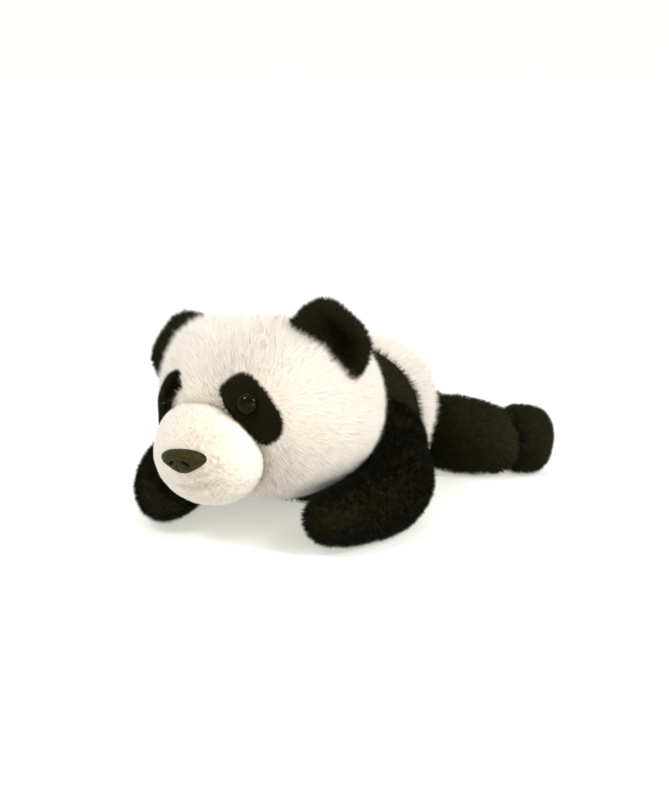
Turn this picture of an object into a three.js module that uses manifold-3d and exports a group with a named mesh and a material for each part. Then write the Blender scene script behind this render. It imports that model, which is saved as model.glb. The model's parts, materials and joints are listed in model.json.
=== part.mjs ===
// A lying plush panda, in millimetres. +Z is up, the panda faces -Y, and its left side is +X.
// The origin is on the flat of its belly, where it rests.
// Covers are thin shells, open where they are sewn to a neighbour, and stuffing or pellets fill them.
// The head is built in a frame of its own, centred on the head and facing -Y, and then turned to its side.

import * as THREE from 'three';
import { mergeVertices } from 'three/addons/utils/BufferGeometryUtils.js';
import Module from 'manifold-3d';

const wasm = await Module();
wasm.setup();

// Driving dimensions

const CLOTH = 2.4; // backing and pile base of a cover
const GAP = 0.35; // between pieces that touch
const JOINT_GAP = 1.2; // between a limb's ball and its socket
const SEAM_ROOM = 0.8; // beside a flap that folds where it is sewn on

const BODY_CENTRE = [0, -10, 46];
const BODY_RADII = [62, 86, 56]; // half the width, length and height
const BAND_EDGE = -5; // where the seam behind the black band lies along the body
const PELLET_BAG_RADII = [32, 40, 12];

const HEAD_CENTRE = [0, -134, 85];
const HEAD_RADII = [79, 73, 61];
const SQUARENESS = 2.6; // of the head's upper half seen from the front; 2 would be round
const HEAD_TURN = -18; // degrees, towards the panda's right
const HEAD_LEAN = -8; // degrees, the left side higher
const HEAD_SWING = [4, 16]; // degrees that the head turns right and left from there
const HEAD_NOD = [8, 3]; // degrees that it tips up and down
const NECK_PIVOT = [0, -88, 68];
const NECK_RADIUS = 28;
const HEAD_MARGIN = 4; // the room around the turning head

const MUZZLE_CENTRE = [0, -64, -20];
const MUZZLE_RADII = [48, 28, 35];
const NOSE_CENTRE = [0, -87, -19];
const NOSE_RADII = [19.5, 9.5, 9.5];
const EYE_PLACE = [40, 16]; // sideways and up on the face
const EYE_RADII = [7.2, 4.5, 7.2];
const PATCH_RADII = [15.5, 25.5];
const PATCH_OFFSET = [2, -2]; // of its middle from the eye
const PATCH_POINTS = 24;
const PATCH_TILT = 37; // degrees, the lower end outwards
const PATCH_CLOTH = 2;
const SHANK_RADIUS = 2.2;
const SHANK_LENGTH = 9;
const SHANK_CLEARANCE = 0.2;
const WASHER_RADIUS = 7;
const WASHER_THICKNESS = 2;
const WASHER_DEPTH = 5.6; // of the washer's front behind the place where the piece is fixed

const EAR_RADII = [29.5, 7, 34]; // half the width, half the thickness, height
const EARS = { // base, then degrees that the tip tilts outwards and the hollow turns outwards
  left: [[59, -1, 43], 45, 14],
  right: [[67, -1, 33], 50, -21],
};
const EAR_FOLD = 20; // degrees that it folds each way

const SHOULDER = [56, -58, 44];
const SHOULDER_RADII = [30, 30, 34];
const ARM = [ // centre and half width and height, from the shoulder to the tip of the paw
  [56, -58, 42, 26, 28],
  [76, -84, 33, 28, 31],
  [80, -114, 26, 27, 28],
  [75, -144, 25, 26, 26],
  [57, -194, 23.5, 24, 24],
];
const ARM_SPREAD = 30; // degrees that it swings outwards
const PAW_BAG_FROM = -162; // the pellets fill the paw ahead of this
const ARM_SEAM = [[30, -50, 44], [12, 16, 20]]; // middle and radii of the opening sewn to the body

const HIP = [45, 36, 35];
const HIP_RADII = [26, 26, 28];
const HAUNCH = [
  [45, 36, 35, 24, 27],
  [68, 41, 29, 27, 30],
  [94, 46, 26, 27, 28],
  [125, 52, 25, 22, 24],
];
const FOOT = [
  [98, 56, 26, 19, 26],
  [119, 60, 27, 22, 28],
  [141, 64, 25.5, 21, 26.5],
];
const LEG_SEAM = [[21, 32, 35], [12, 16, 18]];

const TAIL_BASE = [0, 75, 46];
const TAIL_RADII = [10, 15, 9];
const TAIL_WAG = 20;

const rad = THREE.MathUtils.degToRad;
const vector = (p) => new THREE.Vector3(...p);
const grown = (radii, by) => radii.map((r) => r + by);

// Solids

function solid(geometry) {
  const bare = geometry.clone();
  bare.deleteAttribute('normal');
  bare.deleteAttribute('uv');
  const merged = mergeVertices(bare, 1e-4);
  return new wasm.Manifold(new wasm.Mesh({
    numProp: 3,
    vertProperties: new Float32Array(merged.attributes.position.array),
    triVerts: new Uint32Array(merged.index.array),
  }));
}

function geometryOf(shape) {
  const mesh = shape.getMesh();
  const geometry = new THREE.BufferGeometry();
  geometry.setAttribute('position', new THREE.BufferAttribute(mesh.vertProperties, 3));
  geometry.setIndex(new THREE.BufferAttribute(mesh.triVerts, 1));
  geometry.computeVertexNormals();
  return geometry;
}

// A frame with its origin at a place and its -Y axis along a direction.
function frameFacing(place, direction) {
  const turn = new THREE.Quaternion().setFromUnitVectors(
    new THREE.Vector3(0, -1, 0), direction.clone().normalize());
  return new THREE.Matrix4().compose(place, turn, new THREE.Vector3(1, 1, 1));
}

function ellipsoid(at, radii, around = 16, along = 8) {
  const ball = new THREE.SphereGeometry(1, around, along);
  ball.rotateX(Math.PI / 2);
  ball.scale(...radii);
  ball.translate(...at);
  return solid(ball);
}

// An ellipsoid about the origin whose upper half is squarer when it is seen from the front.
function squareTopped(radii, around, along) {
  const ball = new THREE.SphereGeometry(1, around, along);
  ball.rotateX(Math.PI / 2);
  const place = ball.attributes.position;
  for (let i = 0; i < place.count; i++) {
    const [x, z] = [Math.abs(place.getX(i)), place.getZ(i)];
    const reach = z > 1e-6 ? Math.hypot(x, z) / (x ** SQUARENESS + z ** SQUARENESS) ** (1 / SQUARENESS) : 1;
    place.setX(i, place.getX(i) * reach);
    place.setZ(i, z * reach);
  }
  ball.scale(...radii);
  return solid(ball);
}

function block(low, high) {
  const box = new THREE.BoxGeometry(...high.map((value, i) => value - low[i]));
  box.translate(...high.map((value, i) => (value + low[i]) / 2));
  return solid(box);
}

// A round bar along Y through X = Z = 0, in a frame of its own.
function bar(radius, from, to, frame, around = 12) {
  const cylinder = new THREE.CylinderGeometry(radius, radius, to - from, around);
  cylinder.translate(0, (from + to) / 2, 0);
  cylinder.applyMatrix4(frame);
  return solid(cylinder);
}

// A stuffed tube with rounded ends along a smooth curve through the stops. A negative inset grows it.
function stuffedTube(stops, inset = 0) {
  const [around, along] = inset > 0 ? [8, 6] : [12, 8];
  const spine = new THREE.CatmullRomCurve3(stops.map(([x, y, z]) => new THREE.Vector3(x, y, z)));
  const girth = new THREE.CatmullRomCurve3(stops.map(([, , , w, h]) => new THREE.Vector3(w, h, 0)));
  const trim = Math.max(0, inset) / spine.getLength();
  const growth = Math.min(0, inset);
  const points = [spine.getPoint(trim).addScaledVector(spine.getTangent(0), growth)];
  for (let i = 1; i < along; i++) {
    const share = (1 - Math.cos((Math.PI * i) / along)) / 2;
    const t = trim + share * (1 - 2 * trim);
    const roundness = (1 - Math.abs(2 * share - 1) ** 3) ** (1 / 3);
    const tangent = spine.getTangent(t);
    const side = new THREE.Vector3(0, 0, 1).cross(tangent).normalize();
    const up = tangent.clone().cross(side);
    const size = girth.getPoint(t);
    for (let j = 0; j < around; j++) {
      const angle = (2 * Math.PI * j) / around;
      const point = spine.getPoint(t);
      point.addScaledVector(side, Math.cos(angle) * (size.x - inset) * roundness);
      point.addScaledVector(up, Math.sin(angle) * (size.y - inset) * roundness);
      points.push(point);
    }
  }
  points.push(spine.getPoint(1 - trim).addScaledVector(spine.getTangent(1), -growth));

  const ring = (i, j) => 1 + i * around + (j % around);
  const last = points.length - 1;
  const faces = [];
  for (let j = 0; j < around; j++) {
    faces.push(0, ring(0, j + 1), ring(0, j));
    for (let i = 0; i < along - 2; i++) {
      faces.push(ring(i, j), ring(i, j + 1), ring(i + 1, j));
      faces.push(ring(i, j + 1), ring(i + 1, j + 1), ring(i + 1, j));
    }
    faces.push(last, ring(along - 2, j), ring(along - 2, j + 1));
  }
  const geometry = new THREE.BufferGeometry();
  const coordinates = new Float32Array(points.flatMap((point) => point.toArray()));
  geometry.setAttribute('position', new THREE.BufferAttribute(coordinates, 3));
  geometry.setIndex(faces);
  return solid(geometry);
}

const FAR = 500;
const above = (shape, height) => shape.subtract(block([-FAR, -FAR, -FAR], [FAR, FAR, height]));
const before = (shape, y) => shape.intersect(block([-FAR, -FAR, -FAR], [FAR, y, FAR]));
const behind = (shape, y) => shape.intersect(block([-FAR, y, -FAR], [FAR, FAR, FAR]));
const mirrored = (shape) => shape.mirror([1, 0, 0]);

// A solid turned about an axis through a pivot.
function turned(shape, pivot, axis, degrees) {
  const matrix = new THREE.Matrix4().makeTranslation(vector(pivot));
  matrix.multiply(new THREE.Matrix4().makeRotationAxis(vector(axis).normalize(), rad(degrees)));
  matrix.multiply(new THREE.Matrix4().makeTranslation(vector(pivot).negate()));
  return shape.transform(matrix.elements);
}

// What is left of a shape that turns about a pivot after it gives way to something that stays still.
function givingWay(shape, obstacle, pivot, axis, angles) {
  return angles.reduce((left, angle) => left.subtract(turned(obstacle, pivot, axis, -angle)), shape);
}

// The look of each kind of piece

const CREAM_PLUSH = { color: 0xfaf0e1, roughness: 0.95, metalness: 0 };
const BLACK_PLUSH = { color: 0x1b190e, roughness: 0.92, metalness: 0 };
const STUFFING = { color: 0xf2f2ee, roughness: 1, metalness: 0 };
const PELLET_CLOTH = { color: 0xd9d6cc, roughness: 0.9, metalness: 0 };
const GLOSS_BLACK = { color: 0x0b0a08, roughness: 0.08, metalness: 0 };
const NOSE_PLASTIC = { color: 0x2d2b1c, roughness: 0.45, metalness: 0 };
const WASHER_PLASTIC = { color: 0xe6e3da, roughness: 0.5, metalness: 0 };

function add(group, name, shape, look) {
  const mesh = new THREE.Mesh(geometryOf(shape), new THREE.MeshStandardMaterial(look));
  mesh.name = name;
  group.add(mesh);
}

function addPair(group, name, leftShape, look) {
  add(group, `left_${name}`, leftShape, look);
  add(group, `right_${name}`, mirrored(leftShape), look);
}

const panda = new THREE.Group();

// The head's own frame, and the room that the head needs as it turns and nods

const head = new THREE.Group();
head.position.set(...HEAD_CENTRE);
head.rotation.set(0, rad(HEAD_LEAN), rad(HEAD_TURN), 'ZYX');
head.updateMatrix();
panda.add(head);
const neckInHead = vector(NECK_PIVOT).applyMatrix4(head.matrix.clone().invert()).toArray();

// A covered ellipsoid: its inside is coarser than its outside.
const covered = (at, radii, inset, around, along) => (inset > 0
  ? ellipsoid(at, grown(radii, -inset), around - 4, along - 2)
  : ellipsoid(at, grown(radii, -inset), around, along));
const headShape = (inset) => squareTopped(
  grown(HEAD_RADII, -inset), inset > 0 ? 16 : 20, inset > 0 ? 10 : 12);
const muzzleShape = (inset) => covered(MUZZLE_CENTRE, MUZZLE_RADII, inset, 16, 8);

function headRoom() {
  const resting = squareTopped(grown(HEAD_RADII, HEAD_MARGIN), 12, 8).transform(head.matrix.elements);
  const muzzle = ellipsoid(MUZZLE_CENTRE, grown(MUZZLE_RADII, HEAD_MARGIN), 12, 8);
  const whole = resting.add(muzzle.transform(head.matrix.elements));
  const nodAxis = [Math.cos(rad(HEAD_TURN)), Math.sin(rad(HEAD_TURN)), 0];
  let room = whole;
  for (const turn of [-HEAD_SWING[0], HEAD_SWING[1]]) {
    for (const nod of [-HEAD_NOD[0], HEAD_NOD[1]]) {
      const nodded = turned(whole, NECK_PIVOT, nodAxis, nod);
      room = room.add(turned(nodded, NECK_PIVOT, [0, 0, 1], turn));
    }
  }
  return room;
}

const roomForHead = headRoom();
const neckRoom = ellipsoid(NECK_PIVOT, Array(3).fill(NECK_RADIUS + JOINT_GAP));

// Body: a black band in front, a cream cover behind, stuffing, and a bag of pellets low in the belly

const bodyShape = (inset) => above(covered(BODY_CENTRE, BODY_RADII, inset, 20, 12), inset);

function withSockets(shape) {
  const shoulderRoom = ellipsoid(SHOULDER, grown(SHOULDER_RADII, JOINT_GAP));
  const hipRoom = ellipsoid(HIP, grown(HIP_RADII, JOINT_GAP));
  const side = shoulderRoom.add(hipRoom);
  return shape.subtract(side).subtract(mirrored(side)).subtract(neckRoom).subtract(roomForHead);
}

const bodyShell = withSockets(bodyShape(0)).subtract(bodyShape(CLOTH));
add(panda, 'shoulder_cover', before(bodyShell, BAND_EDGE - GAP / 2), BLACK_PLUSH);
add(panda, 'body_cover', behind(bodyShell, BAND_EDGE + GAP / 2), CREAM_PLUSH);

const bagAt = [0, 6, CLOTH + PELLET_BAG_RADII[2] / 2];
const pelletBag = ellipsoid(bagAt, PELLET_BAG_RADII).intersect(bodyShape(CLOTH + GAP));
const bagPocket = ellipsoid(bagAt, grown(PELLET_BAG_RADII, GAP));
add(panda, 'body_stuffing', withSockets(bodyShape(CLOTH + GAP)).subtract(bagPocket), STUFFING);
add(panda, 'belly_pellet_bag', pelletBag, PELLET_CLOTH);

const tail = ellipsoid(
  [TAIL_BASE[0], TAIL_BASE[1] + TAIL_RADII[1] * 0.6, TAIL_BASE[2]], TAIL_RADII, 12, 8);
const tailAngles = [-TAIL_WAG, 0, TAIL_WAG];
add(panda, 'tail', givingWay(tail, bodyShape(-SEAM_ROOM), TAIL_BASE, [0, 0, 1], tailAngles), CREAM_PLUSH);

// Neck: a ball of stuffing that the head turns and nods on

add(panda, 'neck_stuffing', ellipsoid(NECK_PIVOT, Array(3).fill(NECK_RADIUS)), STUFFING);

// Arms

const armShape = (inset) => above(
  covered(SHOULDER, SHOULDER_RADII, inset, 16, 8).add(stuffedTube(ARM, inset)), inset);
const armSeam = ellipsoid(...ARM_SEAM, 8, 6);
const armCover = armShape(0).subtract(armShape(CLOTH)).subtract(armSeam);
const armFilling = armShape(CLOTH + GAP);
const armStuffing = behind(armFilling, PAW_BAG_FROM + GAP);
const armPellets = before(armFilling, PAW_BAG_FROM);
for (const [side, sign] of [['left', 1], ['right', -1]]) {
  const pivot = [sign * SHOULDER[0], SHOULDER[1], SHOULDER[2]];
  const cleared = (shape) => givingWay(
    sign > 0 ? shape : mirrored(shape), roomForHead, pivot, [0, 0, sign], [0, ARM_SPREAD]);
  add(panda, `${side}_arm_cover`, cleared(armCover), BLACK_PLUSH);
  add(panda, `${side}_arm_stuffing`, cleared(armStuffing), STUFFING);
  add(panda, `${side}_paw_pellet_bag`, cleared(armPellets), PELLET_CLOTH);
}

// Hind legs: a haunch that bulges over the foot

const haunchShape = (inset) => above(
  covered(HIP, HIP_RADII, inset, 16, 8).add(stuffedTube(HAUNCH, inset)), inset);
const footShape = (inset) => above(stuffedTube(FOOT, inset), inset).subtract(haunchShape(-GAP));
const legSeam = ellipsoid(...LEG_SEAM, 8, 6);
const haunchCover = haunchShape(0).subtract(haunchShape(CLOTH)).subtract(legSeam);
addPair(panda, 'haunch_cover', haunchCover, BLACK_PLUSH);
addPair(panda, 'haunch_stuffing', haunchShape(CLOTH + GAP), STUFFING);
addPair(panda, 'foot_cover', footShape(0).subtract(stuffedTube(FOOT, CLOTH)), BLACK_PLUSH);
addPair(panda, 'foot_pellet_bag', footShape(CLOTH + GAP), PELLET_CLOTH);

// Face pieces stand on the ellipsoid of the head

function onFace(x, z) {
  const [a, b, c] = HEAD_RADII;
  const power = z > 0 ? SQUARENESS : 2;
  const [u, w] = [Math.abs(x / a), Math.abs(z / c)];
  const reach = (u ** power + w ** power) ** (1 / power);
  const y = -b * Math.sqrt(1 - reach ** 2);
  const slope = reach ** (2 - power);
  const outward = new THREE.Vector3(
    (Math.sign(x) * slope * u ** (power - 1)) / a, y / b ** 2, (Math.sign(z) * slope * w ** (power - 1)) / c);
  return frameFacing(new THREE.Vector3(x, y, z), outward);
}

// A ring that locks on a shank behind the cloth.
function washer(frame) {
  const from = WASHER_DEPTH;
  const ring = new THREE.LatheGeometry([
    new THREE.Vector2(SHANK_RADIUS + SHANK_CLEARANCE, from),
    new THREE.Vector2(WASHER_RADIUS, from),
    new THREE.Vector2(WASHER_RADIUS, from + WASHER_THICKNESS),
    new THREE.Vector2(SHANK_RADIUS + SHANK_CLEARANCE, from + WASHER_THICKNESS),
    new THREE.Vector2(SHANK_RADIUS + SHANK_CLEARANCE, from),
  ], 12);
  ring.applyMatrix4(frame);
  return solid(ring);
}

const washerRoom = (frame) => bar(WASHER_RADIUS + GAP, -6, WASHER_DEPTH + 8, frame);
const shankRoom = (frame, from, to) => bar(SHANK_RADIUS + SHANK_CLEARANCE, from, to, frame);

const eyeFrame = onFace(...EYE_PLACE);
const eyeBack = -(PATCH_CLOTH + 2 * GAP + 0.5); // the back of the dome, in front of the head's cloth

function eye() {
  const dome = ellipsoid([0, eyeBack, 0], EYE_RADII, 12, 8);
  const front = before(dome, eyeBack);
  const shank = bar(SHANK_RADIUS, eyeBack - 1, SHANK_LENGTH, new THREE.Matrix4());
  return front.add(shank).transform(eyeFrame.elements);
}

function eyePatch(oriented) {
  const rounded = (value) => Math.sign(value) * Math.abs(value) ** 0.72;
  const points = [];
  for (let i = 0; i < PATCH_POINTS; i++) {
    const angle = (2 * Math.PI * i) / PATCH_POINTS;
    const point = new THREE.Vector2(
      PATCH_RADII[0] * rounded(Math.cos(angle)), PATCH_RADII[1] * rounded(Math.sin(angle)));
    point.rotateAround(new THREE.Vector2(0, 0), rad(PATCH_TILT));
    points.push(point.add(new THREE.Vector2(...PATCH_OFFSET)));
  }
  const outline = new THREE.Shape(points);
  const prism = new THREE.ExtrudeGeometry(outline, { depth: 40, bevelEnabled: false });
  prism.translate(0, 0, -20);
  prism.rotateX(Math.PI / 2);
  prism.applyMatrix4(eyeFrame);
  const layer = headShape(-GAP - PATCH_CLOTH).subtract(headShape(-GAP));
  const upright = oriented(solid(prism).subtract(shankRoom(eyeFrame, -20, 20)));
  return upright.intersect(layer).subtract(muzzleShape(-GAP));
}

addPair(head, 'eye', eye(), GLOSS_BLACK);
addPair(head, 'eye_washer', washer(eyeFrame), WASHER_PLASTIC);
add(head, 'left_eye_patch', eyePatch((shape) => shape), BLACK_PLUSH);
add(head, 'right_eye_patch', eyePatch(mirrored), BLACK_PLUSH);

// Nose, on the front of the muzzle

const noseFrame = frameFacing(
  new THREE.Vector3(NOSE_CENTRE[0], NOSE_CENTRE[1], NOSE_CENTRE[2]), new THREE.Vector3(0, -1, 0));

function nose() {
  const front = before(ellipsoid(NOSE_CENTRE, NOSE_RADII, 16, 10), NOSE_CENTRE[1]).subtract(muzzleShape(-GAP));
  return front.add(bar(SHANK_RADIUS, -7, SHANK_LENGTH, noseFrame));
}

add(head, 'nose', nose(), NOSE_PLASTIC);
add(head, 'nose_washer', washer(noseFrame), WASHER_PLASTIC);

// Muzzle and head covers and their stuffing

const muzzleCover = muzzleShape(0).subtract(muzzleShape(CLOTH)).subtract(headShape(CLOTH));
add(head, 'muzzle_cover', muzzleCover.subtract(shankRoom(noseFrame, -10, 20)), CREAM_PLUSH);
const muzzleStuffing = muzzleShape(CLOTH + GAP).subtract(headShape(CLOTH));
add(head, 'muzzle_stuffing', muzzleStuffing.subtract(washerRoom(noseFrame)), STUFFING);

const neckHole = ellipsoid(neckInHead, Array(3).fill(NECK_RADIUS + JOINT_GAP));
const eyeShanks = shankRoom(eyeFrame, -10, 20);
const headCover = headShape(0).subtract(headShape(CLOTH)).subtract(muzzleShape(-GAP))
  .subtract(neckHole).subtract(eyeShanks).subtract(mirrored(eyeShanks));
add(head, 'head_cover', headCover, CREAM_PLUSH);
const eyeWasherRoom = washerRoom(eyeFrame);
const headStuffing = headShape(CLOTH + GAP).subtract(neckHole)
  .subtract(eyeWasherRoom).subtract(mirrored(eyeWasherRoom));
add(head, 'head_stuffing', headStuffing, STUFFING);

// Ears: a half disc, hollowed in front, that folds about the line where it is sewn on

function ear([base, tilt, outwardTurn]) {
  const disc = above(ellipsoid([0, 0, 0], EAR_RADII), -6);
  const hollow = ellipsoid([0, -EAR_RADII[1] * 1.9, EAR_RADII[2] * 0.5],
    [EAR_RADII[0] * 0.72, EAR_RADII[1] * 1.4, EAR_RADII[2] * 0.5]);
  const turn = new THREE.Quaternion().setFromEuler(
    new THREE.Euler(0, rad(tilt), rad(outwardTurn), 'ZYX'));
  const matrix = new THREE.Matrix4().compose(vector(base), turn, new THREE.Vector3(1, 1, 1));
  const hinge = new THREE.Vector3(1, 0, 0).applyQuaternion(turn).toArray();
  const whole = disc.subtract(hollow).transform(matrix.elements);
  return givingWay(whole, headShape(-SEAM_ROOM), base, hinge, [-EAR_FOLD, 0, EAR_FOLD]);
}

add(head, 'left_ear', ear(EARS.left), BLACK_PLUSH);
add(head, 'right_ear', mirrored(ear(EARS.right)), BLACK_PLUSH);

export default panda;
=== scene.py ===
"""The looks of a lying plush panda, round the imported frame. Metres; +Z is up and the panda faces -Y."""

import json
import math

import bmesh
import bpy
import numpy as np
from mathutils import Matrix, Vector
from mathutils.bvhtree import BVHTree


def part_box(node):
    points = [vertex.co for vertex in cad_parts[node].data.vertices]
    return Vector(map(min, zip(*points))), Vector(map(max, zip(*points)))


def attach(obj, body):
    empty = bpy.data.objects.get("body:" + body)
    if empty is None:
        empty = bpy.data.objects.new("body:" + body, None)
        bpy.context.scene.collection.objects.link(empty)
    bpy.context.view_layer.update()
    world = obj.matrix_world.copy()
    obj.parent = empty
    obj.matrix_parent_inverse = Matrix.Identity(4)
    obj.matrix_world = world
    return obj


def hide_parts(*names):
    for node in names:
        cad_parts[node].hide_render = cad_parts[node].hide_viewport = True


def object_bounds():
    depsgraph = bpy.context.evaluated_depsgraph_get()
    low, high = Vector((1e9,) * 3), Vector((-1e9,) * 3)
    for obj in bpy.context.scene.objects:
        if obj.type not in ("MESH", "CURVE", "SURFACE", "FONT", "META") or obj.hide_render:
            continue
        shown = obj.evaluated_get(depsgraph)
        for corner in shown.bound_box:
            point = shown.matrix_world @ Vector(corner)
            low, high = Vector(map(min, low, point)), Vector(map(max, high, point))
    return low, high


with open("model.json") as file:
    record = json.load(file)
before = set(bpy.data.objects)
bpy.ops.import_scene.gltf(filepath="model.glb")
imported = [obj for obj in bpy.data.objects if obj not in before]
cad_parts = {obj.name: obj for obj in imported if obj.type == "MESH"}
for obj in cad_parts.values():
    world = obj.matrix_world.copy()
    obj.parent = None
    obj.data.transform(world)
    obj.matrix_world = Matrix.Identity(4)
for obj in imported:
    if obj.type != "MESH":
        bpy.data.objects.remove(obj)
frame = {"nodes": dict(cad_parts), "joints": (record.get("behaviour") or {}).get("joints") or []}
cad_low, cad_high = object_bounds()
nodes = frame["nodes"]
MM = 0.001
scene = bpy.context.scene


def joint(name):
    """A joint of the record."""
    return next(j for j in frame["joints"] if j["name"] == name)


def joint_place(name):
    """Where a joint of the record turns."""
    return Vector(joint(name)["pos_m"])


# The head's own frame: centred on the head, facing -Y, turned to the panda's right and leaning
HEAD_TURN, HEAD_LEAN = math.radians(-18), math.radians(-8)
HEAD_FROM_NECK = Vector((0, -0.046, 0.017))
HEAD_AT = np.array(joint_place("head_nod") + HEAD_FROM_NECK)
HEAD_AXES = np.array(Matrix.Rotation(HEAD_TURN, 3, "Z") @ Matrix.Rotation(HEAD_LEAN, 3, "Y"))


def in_head(points):
    """Places in the head's own frame."""
    return (points - HEAD_AT) @ HEAD_AXES


def from_head(directions):
    """Directions of the head's own frame, in the shared frame."""
    return directions @ HEAD_AXES.T


# Materials


def principled(name, colour, roughness, **inputs):
    """A material with plain values, and its nodes."""
    made = bpy.data.materials.new(name)
    made.use_nodes = True
    shader = made.node_tree.nodes["Principled BSDF"]
    shader.inputs["Base Color"].default_value = (*colour, 1)
    shader.inputs["Roughness"].default_value = roughness
    for key, value in inputs.items():
        shader.inputs[key.replace("_", " ")].default_value = value
    return made, made.node_tree, shader


def fibre(name, colour, sheen=0.25):
    """Pile: one plain shade of it."""
    made, _, _ = principled(
        name, colour, 0.9, Sheen_Weight=sheen, Sheen_Roughness=0.5, Specular_IOR_Level=0.08
    )
    return made


def mottled(name, dark, light, roughness, grain, bump=0.4, **inputs):
    """A surface mottled between two colours, with a fine grain."""
    made, tree, shader = principled(name, light, roughness, **inputs)
    place = tree.nodes.new("ShaderNodeTexCoord")
    broad = tree.nodes.new("ShaderNodeTexNoise")
    broad.inputs["Scale"].default_value = grain / 6
    broad.inputs["Detail"].default_value = 4
    fine = tree.nodes.new("ShaderNodeTexNoise")
    fine.inputs["Scale"].default_value = grain
    fine.inputs["Detail"].default_value = 3
    ramp = tree.nodes.new("ShaderNodeValToRGB")
    ramp.color_ramp.elements[0].position, ramp.color_ramp.elements[1].position = 0.35, 0.65
    ramp.color_ramp.elements[0].color = (*dark, 1)
    ramp.color_ramp.elements[1].color = (*light, 1)
    relief = tree.nodes.new("ShaderNodeBump")
    relief.inputs["Strength"].default_value = bump
    relief.inputs["Distance"].default_value = 0.4 * MM
    link = tree.links.new
    link(place.outputs["Object"], broad.inputs["Vector"])
    link(place.outputs["Object"], fine.inputs["Vector"])
    link(broad.outputs["Fac"], ramp.inputs["Fac"])
    link(ramp.outputs["Color"], shader.inputs["Base Color"])
    link(fine.outputs["Fac"], relief.inputs["Height"])
    link(relief.outputs["Normal"], shader.inputs["Normal"])
    return made


# Four shades of each pile and how they mix; the strands of painted shade and painted light take two of them
CREAM = [
    fibre("cream_pile", (0.945, 0.885, 0.79)),
    fibre("cream_pile_light", (0.96, 0.915, 0.84)),
    fibre("cream_pile_warm", (0.93, 0.86, 0.745)),
    fibre("cream_pile_deep_and_painted_shade", (0.83, 0.70, 0.53)),
]
BLACK = [
    fibre("black_pile", (0.0165, 0.0142, 0.0038), 0.03),
    fibre("black_pile_olive", (0.0205, 0.0190, 0.0052), 0.035),
    fibre("black_pile_light_and_painted_highlight", (0.0360, 0.0345, 0.0115), 0.04),
    fibre("black_pile_deep", (0.0120, 0.0100, 0.0028), 0.025),
]
# Painted shade in creases takes the deep cream; painted light on tops and rims takes the light black
CREAM_PAINTED_SHADE, BLACK_PAINTED_LIGHT = 3, 2
CREAM_MIX = (5, 4, 2.2, 0.6)
BLACK_MIX = (5, 2.2, 0.5, 3)
cream_backing = mottled("cream_backing", (0.88, 0.80, 0.67), (0.92, 0.86, 0.76), 0.95, 1800)
black_backing = mottled(
    "black_backing", (0.010, 0.0085, 0.0026), (0.015, 0.013, 0.0040), 0.95, 1800, Specular_IOR_Level=0.1
)


# Skins: each soft piece's cover with its filling as one padded form


def coordinates(mesh):
    """A mesh's corners, as an array."""
    out = np.empty(len(mesh.vertices) * 3)
    mesh.vertices.foreach_get("co", out)
    return out.reshape(-1, 3)


def node_points(name):
    """The corners of a CAD node."""
    return coordinates(nodes[name].data)


def unit(v):
    """Vectors of length 1."""
    return v / np.maximum(np.linalg.norm(v, axis=-1, keepdims=True), 1e-12)


def vertex_normals(mesh):
    """A mesh's normals at its corners, as an array."""
    out = np.empty(len(mesh.vertices) * 3)
    mesh.vertices.foreach_get("normal", out)
    return out.reshape(-1, 3)


def place_vertices(mesh, points):
    """Moves a mesh's corners to these places."""
    mesh.vertices.foreach_set("co", np.ascontiguousarray(points).ravel())
    mesh.update()


def new_object(name, mesh, *materials):
    """An object in the scene, with its materials."""
    made = bpy.data.objects.new(name, mesh)
    scene.collection.objects.link(made)
    for material in materials:
        mesh.materials.append(material)
    return made


def modified(obj, kind, **settings):
    """Applies a modifier to an object's mesh."""
    modifier = obj.modifiers.new(kind, kind)
    for key, value in settings.items():
        setattr(modifier, key, value)
    graph = bpy.context.evaluated_depsgraph_get()
    fresh = bpy.data.meshes.new_from_object(obj.evaluated_get(graph))
    obj.modifiers.clear()
    obj.data = fresh


def relaxed(obj, rounds):
    """Smooths a form a number of times."""
    work = bmesh.new()
    work.from_mesh(obj.data)
    for _ in range(rounds):
        bmesh.ops.smooth_vert(
            work, verts=work.verts, factor=0.5, use_axis_x=True, use_axis_y=True, use_axis_z=True
        )
    work.to_mesh(obj.data)
    work.free()


def largest_shell(obj):
    """Keeps the piece's biggest connected shell."""
    work = bmesh.new()
    work.from_mesh(obj.data)
    unseen, shells = set(work.verts), []
    while unseen:
        stack, shell = [unseen.pop()], []
        while stack:
            vert = stack.pop()
            shell.append(vert)
            for edge in vert.link_edges:
                other = edge.other_vert(vert)
                if other in unseen:
                    unseen.remove(other)
                    stack.append(other)
        shells.append(shell)
    shells.sort(key=len, reverse=True)
    bmesh.ops.delete(work, geom=[v for shell in shells[1:] for v in shell], context="VERTS")
    work.to_mesh(obj.data)
    work.free()


def skin(name, members, material, voxel=3.0, rounds=10):
    """One closed form round these CAD nodes."""
    work = bmesh.new()
    for member in members:
        work.from_mesh(nodes[member].data)
    mesh = bpy.data.meshes.new(name)
    work.to_mesh(mesh)
    work.free()
    made = new_object(name, mesh)
    made.modifiers.clear()
    modified(made, "REMESH", mode="VOXEL", voxel_size=voxel * MM, use_smooth_shade=True)
    largest_shell(made)
    relaxed(made, rounds)
    made.data.materials.clear()
    made.data.materials.append(material)
    return made


def shrunk(obj, by):
    """Draws a form in along its normals."""
    mesh = obj.data
    place_vertices(mesh, coordinates(mesh) - vertex_normals(mesh) * by)


CLOTH_FRAMES = 20
SWELLING_ROOM = 0.8 * MM


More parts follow.
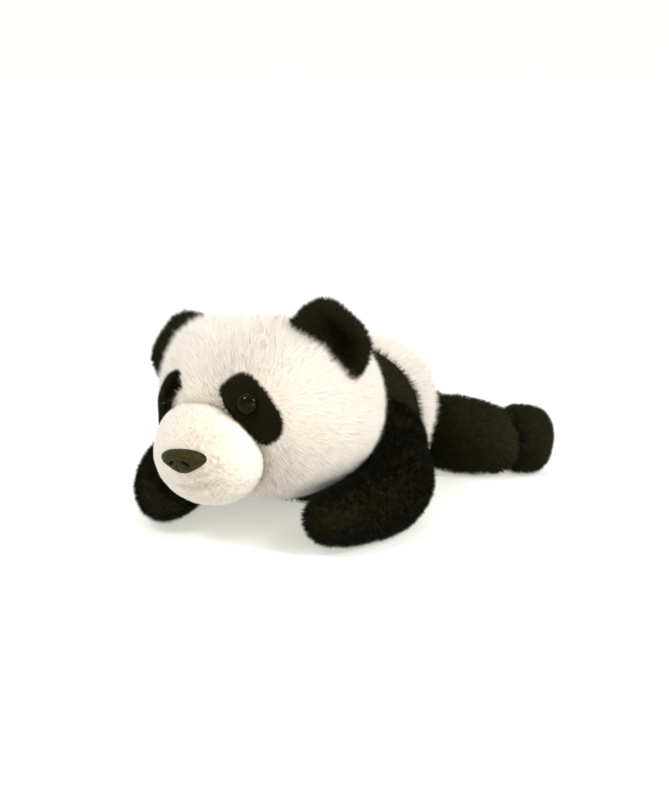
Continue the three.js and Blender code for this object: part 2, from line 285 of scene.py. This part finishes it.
def inflated(forms, cap):
    """Cloth simulation: the forms' covers swell under the pressure of their stuffing, by up to cap."""
    before = {}
    for form in forms:
        shrunk(form, SWELLING_ROOM)
        before[form.name] = coordinates(form.data)
        modifier = form.modifiers.new("Cloth", "CLOTH")
        cloth = modifier.settings
        cloth.quality = 4
        cloth.mass = 0.3
        cloth.tension_stiffness = cloth.compression_stiffness = 12
        cloth.bending_stiffness = 0.5
        cloth.use_pressure = True
        cloth.uniform_pressure_force = 4
        cloth.effector_weights.gravity = 0
        modifier.point_cache.frame_start, modifier.point_cache.frame_end = 1, CLOTH_FRAMES
    for moment in range(1, CLOTH_FRAMES + 1):
        scene.frame_set(moment)
    graph = bpy.context.evaluated_depsgraph_get()
    after = {}
    for form in forms:
        evaluated = form.evaluated_get(graph).to_mesh()
        after[form.name] = coordinates(evaluated)
        form.evaluated_get(graph).to_mesh_clear()
    for form in forms:
        form.modifiers.clear()
        moved = after[form.name] - before[form.name]
        length = np.linalg.norm(moved, axis=1, keepdims=True)
        moved *= np.minimum(1, cap / np.maximum(length, 1e-9))
        place_vertices(form.data, before[form.name] + moved)
    scene.frame_set(1)


def rested(obj):
    """Nothing goes below the table."""
    points = coordinates(obj.data)
    points[:, 2] = np.maximum(points[:, 2], 0)
    place_vertices(obj.data, points)


SIDES = {"left": 1, "right": -1}
TORSO_MEMBERS = ["shoulder_cover", "body_cover", "body_stuffing", "belly_pellet_bag"]
skins = {
    "head": skin("head_skin", ["head_cover", "head_stuffing"], cream_backing),
    "muzzle": skin("muzzle_skin", ["muzzle_cover", "muzzle_stuffing"], cream_backing, 2.0, 8),
    "torso": skin("torso_skin", TORSO_MEMBERS, cream_backing),
    "tail": skin("tail_skin", ["tail"], cream_backing, 1.5, 4),
    "neck": skin("neck_skin", ["neck_stuffing"], black_backing, 3.0, 4),
}
for side in SIDES:
    for part, members, voxel, rounds in (
        ("arm", ("arm_cover", "arm_stuffing", "paw_pellet_bag"), 3.0, 10),
        ("haunch", ("haunch_cover", "haunch_stuffing"), 3.0, 10),
        ("foot", ("foot_cover", "foot_pellet_bag"), 2.5, 8),
        ("ear", ("ear",), 1.5, 5),
    ):
        skins[f"{side}_{part}"] = skin(
            f"{side}_{part}_skin", [f"{side}_{member}" for member in members], black_backing, voxel, rounds
        )

padded_forms = ["head", "muzzle", "torso"]
padded_forms += [f"{side}_{part}" for side in SIDES for part in ("arm", "haunch", "foot")]
SWELLING = 2.5 * MM
inflated([skins[name] for name in padded_forms], SWELLING)
relaxed(skins["muzzle"], 4)
for name in padded_forms:
    modified(skins[name], "SUBSURF", levels=1, render_levels=1)
    rested(skins[name])


# Moulding: where the stuffing and the toy's weight push the forms out


def moulded(name, shift):
    """Moves a skin's points by shift(points in the head's frame), in the head's frame."""
    points = coordinates(skins[name].data)
    place_vertices(skins[name].data, points + from_head(shift(in_head(points))))


def bump(local, middle, reach):
    """1 at a place of the head's frame, falling to nothing over reach; both in millimetres."""
    return np.exp(-(((local - np.array(middle) * MM) / (reach * MM)) ** 2).sum(1))[:, None]


# Places in the head's own frame, in millimetres
CROWN, JOWL, TUFTED_CROWN = (-47, -6, 46), (48, -30, -44), (-50, -10, 42)
HEAD_BUMP_REACH, CROWN_FULLER, JOWL_FULLER = 26, 8.0, 2.5
MUZZLE_IN_HEAD = (0, -64, -20)
MUZZLE_FRONT = -70
BRIDGE_RISE = 0.16
CHIN_FOLD_UP, CHIN_FOLD_WIDTH, CHIN_FOLD_DEPTH = -17.5, 2.6, 2.6


def fuller_head(local):
    """Stuffing pushed up under the right ear and into the left jowl."""
    out = bump(local, CROWN, HEAD_BUMP_REACH) * unit(local) * CROWN_FULLER * MM
    out += bump(local, JOWL, HEAD_BUMP_REACH) * unit(local) * JOWL_FULLER * MM
    return out


def fuller_muzzle(local):
    """A high bridge, and a fold that sets the chin off below the nose."""
    out = np.zeros_like(local)
    up = local[:, 2] / MM - MUZZLE_IN_HEAD[2]
    out[:, 2] = BRIDGE_RISE * np.clip(up, 0, 40) * MM
    out -= unit(local - np.array(MUZZLE_IN_HEAD) * MM) * (CHIN_FOLD_DEPTH * MM * chin_fold(local))[:, None]
    return out


def chin_fold(local):
    """1 along the fold over the chin, which turns up at its ends."""
    aside, up = local[:, 0] / MM, local[:, 2] / MM - MUZZLE_IN_HEAD[2]
    line = CHIN_FOLD_UP + 0.006 * aside**2
    fading = np.clip(1.4 - np.abs(aside) / 22, 0, 1)
    in_front = local[:, 1] < MUZZLE_FRONT * MM
    return np.exp(-(((up - line) / CHIN_FOLD_WIDTH) ** 2)) * fading * in_front


SPREAD_HEIGHT = 30 * MM
LOINS, LOINS_REACH, LOINS_FULLER = np.array([0.036, 0.022, 0.082]), 42 * MM, 6.5 * MM
TORSO_MIDDLE = np.array([0, -0.010, 0.046])
BELLY_SPREAD, ARM_SPREAD = 26 * MM, 14 * MM
ARM_INNER_X, ARM_MIDDLE_Y = -57 * MM, -110 * MM
FOOT_LOWERED = 0.93
EAR_HALF_WIDTH, EAR_HEIGHT = 29.5 * MM, 34 * MM


def low_down(points):
    """1 at the table, falling to nothing at the height under which the toy spreads."""
    return np.clip(1 - points[:, 2:] / SPREAD_HEIGHT, 0, 1)


def settled_torso():
    """Full round the loins, and spread out where the belly lies on the table."""
    points = coordinates(skins["torso"].data)
    mirrored = np.concatenate([np.abs(points[:, :1]), points[:, 1:]], 1)
    full = np.exp(-(((mirrored - LOINS) / LOINS_REACH) ** 2).sum(1))[:, None]
    sag = low_down(points) ** 1.2 * np.clip(0.4 - points[:, 1:2] / (60 * MM), 0, 1)
    out = points - TORSO_MIDDLE
    level = unit(out * np.array([1, 1, 0]))
    moved = unit(out) * full * LOINS_FULLER + level * sag * BELLY_SPREAD
    place_vertices(skins["torso"].data, points + moved)


def settled_right_arm():
    """The right arm's inner side spreads under the chin."""
    points = coordinates(skins["right_arm"].data)
    inner = np.clip((points[:, 0] - ARM_INNER_X) / (12 * MM), 0, 1)
    inner *= np.clip(1.3 - np.abs(points[:, 1] - ARM_MIDDLE_Y) / (50 * MM), 0, 1)
    points[:, 0] += inner * low_down(points)[:, 0] * ARM_SPREAD
    place_vertices(skins["right_arm"].data, points)


def lowered_foot(side):
    """A foot's weight presses it down."""
    points = coordinates(skins[f"{side}_foot"].data)
    points[:, 2] *= FOOT_LOWERED
    place_vertices(skins[f"{side}_foot"].data, points)


def squarer_ear(side):
    """Broad across the top, where a plain oval would be narrow."""
    points = coordinates(skins[f"{side}_ear"].data)
    base = np.array(joint_place(f"{side}_ear_fold"))
    thin = np.linalg.svd(points - points.mean(0), full_matrices=False)[2][2]
    hinge = unit(np.array(joint(f"{side}_ear_fold")["axis"]))
    upward = unit(np.cross(thin, hinge))
    upward = upward * np.sign((points.mean(0) - base) @ upward)
    out = points - base
    aside = np.abs(out @ hinge) / EAR_HALF_WIDTH
    up = np.maximum(out @ upward / EAR_HEIGHT, 0)
    reach = np.hypot(aside, up) / np.maximum((aside**3 + up**3) ** (1 / 3), 1e-6)
    stretch = np.where(up > 0.02, (1 - 0.06 * up) * reach - 1, 0)
    flat = out - (out @ thin)[:, None] * thin
    place_vertices(skins[f"{side}_ear"].data, points + flat * stretch[:, None])


for side in SIDES:
    squarer_ear(side)
    lowered_foot(side)
moulded("head", fuller_head)
moulded("muzzle", fuller_muzzle)
settled_torso()
settled_right_arm()


# Pile: tufts of tapered strands, as plain mesh
GUARD_LENGTH, GUARD_SPREAD, GUARD_GATHER, GUARD_STRAY = 1.22, 0.55, 0.85, 0.45
ROOT_DEPTH = 0.5 * MM
ABOVE_TABLE = 0.3 * MM


def sown(obj, count, rng):
    """Random places all over a mesh, and its normals there."""
    mesh = obj.data
    mesh.calc_loop_triangles()
    corners = np.empty(len(mesh.loop_triangles) * 3, np.int32)
    mesh.loop_triangles.foreach_get("vertices", corners)
    corners = corners.reshape(-1, 3)
    points, normals = coordinates(mesh), vertex_normals(mesh)
    a, b, c = (points[corners[:, i]] for i in range(3))
    area = np.linalg.norm(np.cross(b - a, c - a), axis=1) / 2
    pick = rng.choice(len(area), count, p=area / area.sum())
    u, v = rng.random(count), rng.random(count)
    flip = u + v > 1
    u[flip], v[flip] = 1 - u[flip], 1 - v[flip]
    weight = np.stack([1 - u - v, u, v], 1)[:, :, None]
    place = (points[corners[pick]] * weight).sum(1)
    normal = (normals[corners[pick]] * weight).sum(1)
    return place, unit(normal)


def across(direction, normal):
    """The part of a direction that lies along the surface."""
    return unit(direction - (direction * normal).sum(1, keepdims=True) * normal)


def distances(obj, points):
    """How far each point is from a mesh."""
    mesh = obj.data
    tree = BVHTree.FromPolygons([v.co for v in mesh.vertices], [tuple(p.vertices) for p in mesh.polygons])
    return np.array([tree.find_nearest(Vector(p))[3] for p in points])


def pile(name, obj, body, tufts, per_tuft, length, width, lean, comb, shades, mix, seed,
         keep=None, grow=None, clump=0.3, spread=1.8, tint=None, guards=0.25):
    """Tufts all over obj, combed along comb(points), on one body.

    Lengths, widths and the spread of a tuft are in millimetres; lean is 0 for upright pile and 1 for flat.
    A strand is one long triangle. Guard tufts are longer and come to a point. keep picks the places that
    have pile, grow shortens or lengthens it, and tint is the share of strands that take painted light
    (the light black, on tops and rims) and painted shade (the deep cream, in creases).
    """
    rng = np.random.default_rng(seed)
    at, normal = sown(obj, tufts, rng)
    if keep is not None:
        kept = keep(at, normal)
        at, normal = at[kept], normal[kept]
    n, k = len(at), per_tuft
    total = n * k
    along = across(comb(at) + rng.normal(0, 0.12, (n, 3)), normal)
    side = np.cross(normal, along)
    guard = rng.random(n) < guards
    size = length * MM * rng.uniform(0.85, 1.1, n) * np.where(guard, GUARD_LENGTH, 1)
    gather = np.where(guard, GUARD_GATHER, clump)[:, None, None]
    spread = spread * MM * np.where(guard, GUARD_SPREAD, 1)[:, None]
    if grow is not None:
        size = size * grow(at, normal)
    tilt = np.clip(lean + rng.normal(0, 0.06, n), 0, 0.97)[:, None]
    tip = (normal * np.sqrt(1 - tilt**2) + along * tilt) * size[:, None]

    spin, away = rng.uniform(0, 2 * math.pi, (n, k, 1)), spread[..., None] * np.sqrt(rng.random((n, k, 1)))
    offset = along[:, None] * (away * np.cos(spin)) + side[:, None] * (away * np.sin(spin))
    root = at[:, None] + offset - normal[:, None] * ROOT_DEPTH
    stretch = rng.uniform(0.7, 1.05, (n, k, 1))
    stray = rng.normal(0, 0.11, (n, k, 3)) * (size * np.where(guard, GUARD_STRAY, 1))[:, None, None]
    end = at[:, None] + offset * (1 - gather) + tip[:, None] * stretch + stray
    root, end = root.reshape(total, 3), end.reshape(total, 3)
    facing = np.repeat(normal, k, 0)
    strand = end - root
    twist = rng.normal(0, 0.35, (total, 3)) * np.linalg.norm(strand, axis=1)[:, None]
    flat = unit(np.cross(strand, facing) + twist)
    half = (width / 2 * MM * rng.uniform(0.7, 1.2, total))[:, None]
    points = np.stack([root - flat * half, root + flat * half, end], 1)
    points[..., 2] = np.maximum(points[..., 2], ABOVE_TABLE)
    corners = points.shape[1]

    mesh = bpy.data.meshes.new(name)
    mesh.vertices.add(total * corners)
    mesh.vertices.foreach_set("co", points.ravel())
    mesh.loops.add(total * corners)
    mesh.loops.foreach_set("vertex_index", np.arange(total * corners))
    mesh.polygons.add(total)
    mesh.polygons.foreach_set("loop_start", np.arange(total) * corners)
    mesh.update(calc_edges=True)
    shares = np.array(mix, float)
    shade = rng.choice(len(shades), total, p=shares / shares.sum())
    # Painted light and shade: these strands take the light black on tops and rims and the deep cream in
    # creases
    if tint is not None:
        painted_strands = rng.random(total) < np.repeat(tint(at, normal), k)
        shade = np.where(painted_strands, BLACK_PAINTED_LIGHT if shades is BLACK else CREAM_PAINTED_SHADE, shade)
    mesh.polygons.foreach_set("material_index", shade)
    mesh.polygons.foreach_set("use_smooth", np.ones(total, bool))
    soft = unit(facing + rng.normal(0, 0.12, (total, 3)))
    custom = mesh.attributes.new("custom_normal", "FLOAT_VECTOR", "POINT")
    custom.data.foreach_set("vector", np.repeat(soft, corners, 0).astype(np.float32).ravel())
    made = new_object(name, mesh, *shades)
    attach(made, body)
    return made


muzzle_at = np.array(sum((Vector(c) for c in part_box("muzzle_cover")), Vector()) / 2)
nose_at = node_points("nose").mean(0)


def combed_from(place, droop=0.0):
    """Pile combed away from a place, and drooping."""
    return lambda points: unit(points - place) - np.array([0, 0, droop])


def combed_along(direction):
    """Pile combed one way all over."""
    return lambda points: np.tile(direction, (len(points), 1))


# Eye patches: ovals whose inner lower side is tucked in beside the muzzle
PATCH_TILT = math.radians(37)
PATCH_TUCKED_PAST, PATCH_TUCK = 8 * MM, 0.75


def patch_skin(side, sign):
    """An eye patch, drawn in past a line beside the muzzle and moved a little inwards and down."""
    patch = skin(f"{side}_patch_skin", [f"{side}_eye_patch"], black_backing, 1.0, 2)
    local = in_head(coordinates(patch.data))
    inward = np.array([-sign * math.cos(PATCH_TILT), 0, -math.sin(PATCH_TILT)])
    past = (local - local.mean(0)) @ inward - PATCH_TUCKED_PAST
    local = local - np.maximum(past, 0)[:, None] * PATCH_TUCK * inward
    local += np.array([-sign * 0.8, 0, -1.3]) * MM
    place_vertices(patch.data, from_head(local) + HEAD_AT)
    return patch


for side, sign in SIDES.items():
    skins[f"{side}_patch"] = patch_skin(side, sign)


def nearest_of(part, points):
    """How far each point is from the nearer one of a pair of skins."""
    return np.minimum(*(distances(skins[f"{side}_{part}"], points) for side in SIDES))


# Head: long cream pile, combed back from the muzzle and clear of the eyes' patches
PATCH_EDGE, MUZZLE_EDGE, NECK_RADIUS = 1.6 * MM, 0.8 * MM, 31 * MM


def head_length(points, normals):
    """Shorter beside the patches and the muzzle and beneath; longer on the crown and at the ears."""
    at_patch, at_muzzle = nearest_of("patch", points), distances(skins["muzzle"], points)
    near = np.minimum(at_patch / (12 * MM), at_muzzle / (14 * MM))
    beneath = np.clip(-normals[:, 2] * 2 - 1, 0, 1)
    crown = bump(in_head(points), TUFTED_CROWN, 24)[:, 0]
    at_ear = np.exp(-nearest_of("ear", points) / (5 * MM))
    return np.clip(0.5 + 0.5 * near, 0.5, 1.0) * (1 - 0.4 * beneath) * (1 + 0.5 * crown + 0.5 * at_ear)


def head_crease_painted_shade(points, normals):
    """Painted shade: warmer, darker pile down in the crease round the muzzle."""
    return 0.75 * np.exp(-((distances(skins["muzzle"], points) / (3.2 * MM)) ** 2))


def muzzle_crease_painted_shade(points, normals):
    """The same painted shade along the muzzle's edge and in the fold over the chin."""
    edge = np.exp(-((distances(skins["head"], points) / (3.0 * MM)) ** 2))
    return np.clip(0.6 * edge + 0.22 * chin_fold(in_head(points)), 0, 1)


def on_head(sign):
    """One half of the head, clear of the patches, the muzzle and the neck."""
    def keep(points, normals):
        good = in_head(points)[:, 0] * sign > 0
        index = np.nonzero(good)[0]
        clear = nearest_of("patch", points[index]) > PATCH_EDGE
        free = distances(skins["muzzle"], points[index]) > MUZZLE_EDGE
        neck = np.linalg.norm(points[index] - np.array(joint_place("head_nod")), axis=1) > NECK_RADIUS
        good[index] = clear & free & neck
        return good

    return keep


head_comb = combed_from(muzzle_at, 0.25)
for name, sign, seed in (("left_head_pile", 1, 11), ("left_head_pile_2", 1, 12), ("right_head_pile", -1, 13)):
    pile(name, skins["head"], "head", 46000, 9, 8.0, 0.19, 0.5, head_comb, CREAM, CREAM_MIX, seed,
         keep=on_head(sign), grow=head_length, spread=2.2, clump=0.05, tint=head_crease_painted_shade)


def on_muzzle(points, normals):
    """Clear of the nose, and not where the muzzle lies against the head."""
    off_nose = distances(nodes["nose"], points) > 0.4 * MM
    off_head = distances(nodes["head_stuffing"], points) > 0.5 * MM
    return off_nose & off_head


pile("muzzle_pile", skins["muzzle"], "head", 46000, 5, 2.0, 0.22, 0.66, combed_from(nose_at), CREAM,
     (6, 3, 2, 0), 21, keep=on_muzzle, spread=1.2, clump=0.0, tint=muzzle_crease_painted_shade, guards=0)


def outer(points, normals):
    """The side of an eye patch that faces away from the head."""
    return ((points - HEAD_AT) * normals).sum(1) > 20 * MM


for side in SIDES:
    patch = skins.pop(f"{side}_patch")
    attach(patch, "head")
    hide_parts(f"{side}_eye_patch")
    patch_comb = combed_from(node_points(f"{side}_eye").mean(0), 0.3)
    pile(f"{side}_patch_pile", patch, "head", 10000, 5, 3.0, 0.2, 0.5, patch_comb, BLACK, (4, 1, 0, 6),
         31 + len(side), keep=outer, spread=1.0, clump=0.1)


# Torso: black in front of the seam, cream behind it
seam = (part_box("shoulder_cover")[1].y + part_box("body_cover")[0].y) / 2


def cut_skin(source, name, front, material):
    """The part of a skin in front of the seam or behind it."""
    made = new_object(name, source.data.copy())
    work = bmesh.new()
    work.from_mesh(made.data)
    bmesh.ops.bisect_plane(
        work, geom=work.verts[:] + work.edges[:] + work.faces[:], plane_co=(0, seam, 0), plane_no=(0, 1, 0),
        clear_outer=front, clear_inner=not front,
    )
    work.to_mesh(made.data)
    work.free()
    made.data.materials.clear()
    made.data.materials.append(material)
    return made


skins["shoulder"] = cut_skin(skins["torso"], "shoulder_skin", True, black_backing)
skins["body"] = cut_skin(skins["torso"], "body_skin", False, cream_backing)
bpy.data.objects.remove(skins.pop("torso"))


def back_comb(points):
    """Pile combed down the back and out to both sides."""
    return np.stack([points[:, 0] * 6, np.full(len(points), 1.0), np.full(len(points), -0.35)], 1)


def above_table(points, normals):
    """All but the pile that is pressed flat under the toy."""
    return ~((normals[:, 2] < -0.75) & (points[:, 2] < 3 * MM))


for name, seed in (("body_pile", 41), ("body_pile_2", 44)):
    pile(name, skins["body"], "torso", 16000, 9, 9.0, 0.2, 0.5, back_comb, CREAM, CREAM_MIX, seed,
         keep=above_table, spread=2.6, clump=0.1)
pile("shoulder_pile", skins["shoulder"], "torso", 12000, 10, 5.0, 0.22, 0.5, back_comb, BLACK, BLACK_MIX, 42,
     keep=above_table, spread=2.0, clump=0.15)
pile("tail_pile", skins["tail"], "tail", 1500, 16, 7.5, 0.2, 0.5, back_comb, CREAM, CREAM_MIX, 43,
     clump=0.15)


# Limbs and ears


def painted_top_light(points, normals):
    """Painted light: pile that faces up is a little lighter."""
    return np.clip(normals[:, 2], 0, 1) * 0.25


def haunch_painted_sheen(points, normals):
    """Painted sheen: the outer end of a haunch is lighter all round."""
    return np.clip(painted_top_light(points, normals) + 0.9 * np.clip(np.abs(normals[:, 0]) - 0.3, 0, 1), 0, 1)


def ear_length(points, normals):
    """Shorter at the ear's root."""
    return np.clip(distances(skins["head"], points) / (7 * MM), 0.35, 1)


for side, sign in SIDES.items():
    arm_comb = combed_along([sign * 0.1, -1.0, -0.25])
    leg_comb = combed_along([sign * 1.0, 0.3, -0.15])
    for part, on, tufts, comb, tint, seed in (
        ("arm", "arm", 17000 if sign > 0 else 11000, arm_comb, painted_top_light, 51),
        ("haunch", "leg", 11000 if sign > 0 else 8000, leg_comb, haunch_painted_sheen, 54),
        ("foot", "leg", 7000 if sign > 0 else 5000, leg_comb, painted_top_light, 57),
    ):
        pile(f"{side}_{part}_pile", skins[f"{side}_{part}"], f"{side}_{on}", tufts, 10, 4.8, 0.22, 0.35, comb,
             BLACK, BLACK_MIX, seed + sign, keep=above_table, tint=tint, spread=2.0, clump=0.15)
    ear_comb = combed_from(np.array(joint_place(f"{side}_ear_fold")))
    pile(f"{side}_ear_pile", skins[f"{side}_ear"], f"{side}_ear", 6000, 10, 5.4, 0.2, 0.42, ear_comb, BLACK,
         BLACK_MIX, 61 + sign, grow=ear_length, spread=1.4, clump=0.1)


# Which body each skin is on, and what it stands for
RIDES = {
    "head": ("head", "cream_plush", ("head_cover", "head_stuffing")),
    "muzzle": ("head", "muzzle_plush", ("muzzle_cover", "muzzle_stuffing")),
    "shoulder": ("torso", "black_plush", ("shoulder_cover",)),
    "body": ("torso", "cream_plush", ("body_cover", "body_stuffing", "belly_pellet_bag")),
    "tail": ("tail", "cream_plush", ("tail",)),
    "neck": ("neck", "black_plush", ("neck_stuffing",)),
}
for side in SIDES:
    RIDES[f"{side}_arm"] = (
        f"{side}_arm", "black_plush", (f"{side}_arm_cover", f"{side}_arm_stuffing", f"{side}_paw_pellet_bag")
    )
    RIDES[f"{side}_haunch"] = (
        f"{side}_leg", "black_plush", (f"{side}_haunch_cover", f"{side}_haunch_stuffing")
    )
    RIDES[f"{side}_foot"] = (f"{side}_leg", "black_plush", (f"{side}_foot_cover", f"{side}_foot_pellet_bag"))
    RIDES[f"{side}_ear"] = (f"{side}_ear", "black_plush", (f"{side}_ear",))
for name, (body, slot, members) in RIDES.items():
    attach(skins[name], body)
    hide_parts(*members)


# Eyes: polished domes on shanks
AROUND = 48
EYE_RADIUS, EYE_BACK_RADIUS, EYE_DEPTH, EYE_BACK = 7.4 * MM, 7.4 * MM * 0.86, 5.0 * MM, 0.8 * MM
SHANK_RADIUS, SHANK_LENGTH = 2.1 * MM, 9.0 * MM
# How far each eye is sunk in its patch and moved aside, in millimetres
EYE_SEAT = {"left": (1.8, 1.2), "right": (5.5, 4.0)}
head_aside, _, head_up = from_head(np.eye(3))


def closed(name, rings, *materials):
    """A smooth closed form from rings of places, the first and the last ring being one place."""
    work = bmesh.new()
    grid = [[work.verts.new(place) for place in ring] for ring in rings]
    for low, high in zip(grid, grid[1:]):
        for i in range(AROUND):
            j = (i + 1) % AROUND
            if len(low) == 1:
                work.faces.new((low[0], high[i], high[j]))
            elif len(high) == 1:
                work.faces.new((low[j], low[i], high[0]))
            else:
                work.faces.new((low[j], low[i], high[i], high[j]))
    bmesh.ops.recalc_face_normals(work, faces=work.faces)
    mesh = bpy.data.meshes.new(name)
    work.to_mesh(mesh)
    work.free()
    mesh.polygons.foreach_set("use_smooth", np.ones(len(mesh.polygons), bool))
    return new_object(name, mesh, *materials)


def lathed(name, profile, at, axis, material):
    """A round form from (radius, height) pairs, standing on a place along an axis."""
    axis = Vector(axis).normalized()
    right = Vector(head_up).cross(axis).normalized()
    up = axis.cross(right)
    turns = [2 * math.pi * i / AROUND for i in range(AROUND)]
    rings = []
    for radius, height in profile:
        centre = Vector(at) + axis * height
        ring = [centre + right * (radius * math.cos(t)) + up * (radius * math.sin(t)) for t in turns]
        rings.append(ring if radius else [centre])
    return closed(name, rings, material)


def eye_dome(side):
    """One eye: a dome over a flat back and a shank, set in its patch."""
    washer_mid = node_points(f"{side}_eye_washer").mean(0)
    points = node_points(f"{side}_eye")
    axis = unit(points.mean(0) - washer_mid)
    front = ((points - washer_mid) @ axis).max()
    profile = [(0, -SHANK_LENGTH), (SHANK_RADIUS, -SHANK_LENGTH), (SHANK_RADIUS, 0), (EYE_BACK_RADIUS, 0)]
    for t in np.radians(np.linspace(0, 90, 20)[:-1]):
        profile.append((EYE_RADIUS * math.cos(t), EYE_BACK + EYE_DEPTH * math.sin(t)))
    profile.append((0, EYE_BACK + EYE_DEPTH))
    sunk, aside = EYE_SEAT[side]
    at = washer_mid + axis * (front - sunk * MM - EYE_DEPTH) + (head_aside * aside + head_up) * MM
    return lathed(f"{side}_eye_dome", profile, at, axis, gloss)


gloss = mottled("eye_plastic", (0.0015, 0.0011, 0.0003), (0.003, 0.0021, 0.0005), 0.05, 900, 0.01,
                Specular_IOR_Level=0.11, Specular_Tint=(1.0, 0.9, 0.62, 1))
for side in SIDES:
    eye = eye_dome(side)
    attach(eye, "head")
    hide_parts(f"{side}_eye")


# Nose: a rounded triangle with two nostrils, drawn in millimetres: x to the side, y forward and z up
NOSE_HALF_WIDTH, NOSE_HALF_HEIGHT, NOSE_HALF_DEPTH = 20.5, 7.6, 8.6
NOSE_SHIFT = (1.6, -8.4, 0.4)
NOSTRIL_X, NOSTRIL_Z, NOSTRIL_DEPTH = 7.0, -0.6, 3.2
GROOVE_HALF_WIDTH, GROOVE_DEPTH = 1.1, 1.4
nose_skin = mottled("nose_plastic", (0.016, 0.0145, 0.004), (0.030, 0.0275, 0.0078), 0.42, 2600, 0.35,
                    Specular_IOR_Level=0.06, Specular_Tint=(1.0, 0.96, 0.7, 1))
# Painted shade: the nostrils' dents take this near-black material
nostril, _, _ = principled("nostril", (0.004, 0.0034, 0.0012), 0.7, Specular_IOR_Level=0.05)


def nostril_dents(x, z):
    """1 in the middle of each nostril, which curl down and outwards; the right nostril's comes first."""
    dents = []
    for side in (-1, 1):
        aside, up = x - side * NOSTRIL_X, z - NOSTRIL_Z
        dents.append(math.exp(-((aside / 3.9) ** 2) - ((up + 0.35 * side * aside) / 1.8) ** 2))
    return dents


def nose_spot(polar, turn):
    """Where the nose's surface is, at these angles round its middle."""
    x, z, y = math.sin(polar) * math.cos(turn), math.sin(polar) * math.sin(turn), math.cos(polar)
    taper = 1.0 + 0.16 * z if z > 0 else 1.0 - 0.55 * abs(z) ** 1.5
    lip = 2.4 * z if z < 0 else 0
    x, z = NOSE_HALF_WIDTH * x * taper, NOSE_HALF_HEIGHT * z + lip + 1.2
    in_front = y > 0
    y = NOSE_HALF_DEPTH * math.copysign(abs(y) ** 0.8, y)
    if in_front:
        y -= NOSTRIL_DEPTH * sum(nostril_dents(x, z))
        below = 1 if z < -2.0 else max(0, (0.5 - z) / 2.5)
        y -= GROOVE_DEPTH * math.exp(-((x / GROOVE_HALF_WIDTH) ** 2)) * below
    return x, y, z


def nose_form():
    """The nose, standing on the front of the CAD nose; painted shade: its nostrils have a darker material of
    their own.
    """
    washer_mid = node_points("nose_washer").mean(0)
    points = node_points("nose")
    axis = unit(points.mean(0) - washer_mid)
    front = washer_mid + axis * ((points - washer_mid) @ axis).max()
    rows = 26
    rings = []
    for i in range(rows + 1):
        turns = [0] if i in (0, rows) else [2 * math.pi * j / AROUND for j in range(AROUND)]
        spots = [np.add(nose_spot(math.pi * i / rows, turn), NOSE_SHIFT) * MM for turn in turns]
        rings.append([front + axis * y + head_aside * x + head_up * z for x, y, z in spots])
    made = closed("nose_form", rings, nose_skin, nostril)
    modified(made, "SUBSURF", levels=1, render_levels=1)
    for face in made.data.polygons:
        out = (np.array(face.center) - front) / MM
        dent = max(nostril_dents(out @ head_aside - NOSE_SHIFT[0], out @ head_up - NOSE_SHIFT[2]))
        face.material_index = 1 if dent > 0.5 and out @ axis > -8 else 0
    return made


nose = nose_form()
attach(nose, "head")
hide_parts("nose")

washer_plastic = mottled("washer_plastic", (0.62, 0.60, 0.53), (0.76, 0.74, 0.66), 0.45, 700)
for name in ("left_eye_washer", "right_eye_washer", "nose_washer"):
    nodes[name].data.materials.clear()
    nodes[name].data.materials.append(washer_plastic)


# Studio: a pale floor, a pale sky and soft lights


def plane(name, half, at, material):
    """A level square of the set."""
    mesh = bpy.data.meshes.new(name)
    corners = [(-half, -half, 0), (half, -half, 0), (half, half, 0), (-half, half, 0)]
    mesh.from_pydata(corners, [], [(0, 1, 2, 3)])
    made = new_object(name, mesh, material)
    made.location = at
    return made


floor_paint, _, _ = principled("floor_paint", (0.56, 0.56, 0.56), 0.9, Specular_IOR_Level=0.1,
                               Emission_Color=(1.0, 1.0, 0.90, 1), Emission_Strength=0.5)
plane("floor", 30, (0, 0, -0.2 * MM), floor_paint)

world = bpy.data.worlds.new("studio")
scene.world = world
world.use_nodes = True
sky = world.node_tree.nodes["Background"]
sky.inputs["Color"].default_value = (1.0, 1.0, 1.0, 1)
sky.inputs["Strength"].default_value = 0.9

centre = (cad_low + cad_high) / 2


def backwards(azimuth, elevation):
    """The direction from the object to something seen at these angles, in degrees."""
    a, e = math.radians(azimuth), math.radians(elevation)
    return Vector((math.sin(a) * math.cos(e), -math.cos(a) * math.cos(e), math.sin(e)))


def softbox(name, azimuth, elevation, distance, size, power, tint):
    """A square light that shines at the object."""
    data = bpy.data.lights.new(name, "AREA")
    data.shape = "SQUARE"
    data.size = size
    data.energy = power
    data.color = tint
    made = bpy.data.objects.new(name, data)
    scene.collection.objects.link(made)
    direction = backwards(azimuth, elevation)
    made.location = centre + direction * distance
    made.rotation_euler = direction.to_track_quat("Z", "Y").to_euler()


SOFT_WHITE, WARM_WHITE = (1.0, 0.985, 0.96), (1.0, 0.98, 0.95)
softbox("left_box", -32, 50, 1.6, 0.42, 10.5, SOFT_WHITE)
softbox("right_box", 76, 40, 1.6, 0.40, 11, SOFT_WHITE)
softbox("low_box", 58, 8, 1.7, 0.7, 9, WARM_WHITE)
softbox("front_box", 20, 4, 1.9, 1.1, 5, WARM_WHITE)
softbox("back_box", 205, 40, 1.9, 1.0, 9, SOFT_WHITE)

# Camera, at the photograph's viewing angle
AZIMUTH, ELEVATION, DISTANCE, FOCAL_LENGTH = 24.19, 15.15, 1.653, 100.7
AIM = Vector((0.01134, 0.01574, -0.01303))
back = backwards(AZIMUTH, ELEVATION)
lens = bpy.data.cameras.new("camera")
lens.lens, lens.sensor_width, lens.sensor_fit = FOCAL_LENGTH, 36, "AUTO"
lens.clip_start, lens.clip_end = 0.05, 60
camera = bpy.data.objects.new("camera", lens)
scene.collection.objects.link(camera)
camera.location = centre + AIM + back * DISTANCE
camera.rotation_euler = (-back).to_track_quat("-Z", "Y").to_euler()
scene.camera = camera
scene.view_settings.view_transform = "Standard"
